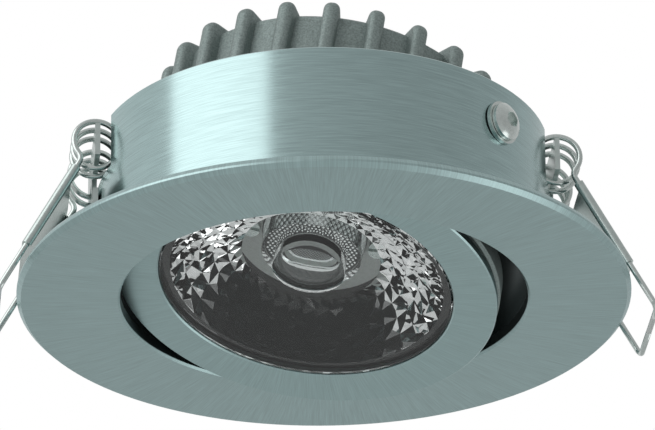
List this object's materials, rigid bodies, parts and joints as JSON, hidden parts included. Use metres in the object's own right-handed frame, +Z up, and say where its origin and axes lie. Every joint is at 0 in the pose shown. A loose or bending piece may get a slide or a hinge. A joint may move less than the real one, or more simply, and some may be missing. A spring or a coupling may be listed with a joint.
{
  "type": "soffit downlight",
  "caption": "Round recessed downlight: a brushed flange and collar, a finned lamp that tilts inside them behind a faceted clear lens, and sprung wire clips that hold it in a soffit.",
  "frame": {"origin": "centre of the flange's back face, which seats against the underside of the soffit", "axes": "+Z up into the soffit, square to the flange; the spring clips stand on +X and -X; the lamp tilts about a level axis 45 degrees from them"},
  "size_m": [0.0902, 0.084, 0.0418],
  "materials": {
    "brushed_trim": "brushed satin",
    "cast_aluminium": "matt grit-blasted casting",
    "clip_steel": "bright zinc-plated sheet",
    "rivet_metal": "plain",
    "spring_wire": "bright drawn wire",
    "screw_steel": "bright plated",
    "black_nylon": "matt",
    "clear_optic": "clear moulded",
    "silicone": "soft matt",
    "grey_pad": "matt",
    "white_ceramic": "smooth",
    "phosphor": "smooth",
    "white_plastic": "matt",
    "lead_insulation": "smooth",
    "black_plate": "satin",
    "black_rubber": "matt"
  },
  "bodies": {
    "trim": {"trim_ring": "brushed_trim", "pivot_bushes": "black_nylon", "pivot_washers": "screw_steel", "clip_bracket_right": "clip_steel", "clip_bracket_left": "clip_steel", "bracket_rivets": "rivet_metal"},
    "lamp": {"heat_sink": "cast_aluminium", "front_ring": "brushed_trim", "lens": "clear_optic", "lens_gasket": "silicone", "thermal_pad": "grey_pad", "led_board": "white_ceramic", "led_emitter": "phosphor", "led_holder": "white_plastic", "holder_screws": "screw_steel", "led_leads": "lead_insulation", "terminal_block": "white_plastic", "terminal_screws": "screw_steel", "rear_cover": "black_plate", "cover_screws": "screw_steel", "cable_grommet": "black_rubber", "pivot_screws": "screw_steel"},
    "clip_right": {"clip_spring_right": "spring_wire", "clip_plate_right": "clip_steel"},
    "clip_left": {"clip_spring_left": "spring_wire", "clip_plate_left": "clip_steel"}
  },
  "joints": [
    {"name": "lamp_tilt", "type": "hinge", "parent": "trim", "child": "lamp", "pos_m": [0, 0, 0.0152], "axis": [0.7071, -0.7071, 0], "range_deg": [-2.2, 29.8]},
    {"name": "clip_right_fold", "type": "hinge", "parent": "trim", "child": "clip_right", "pos_m": [0.03157, 0, 0.0178], "axis": [0, -1, 0], "range_deg": [0, 150], "stiffness_Nm_per_rad": 0.05, "deforming": ["clip_spring_right"]},
    {"name": "clip_left_fold", "type": "hinge", "parent": "trim", "child": "clip_left", "pos_m": [-0.03157, 0, 0.0178], "axis": [0, 1, 0], "range_deg": [0, 150], "stiffness_Nm_per_rad": 0.05, "deforming": ["clip_spring_left"]}
  ]
}
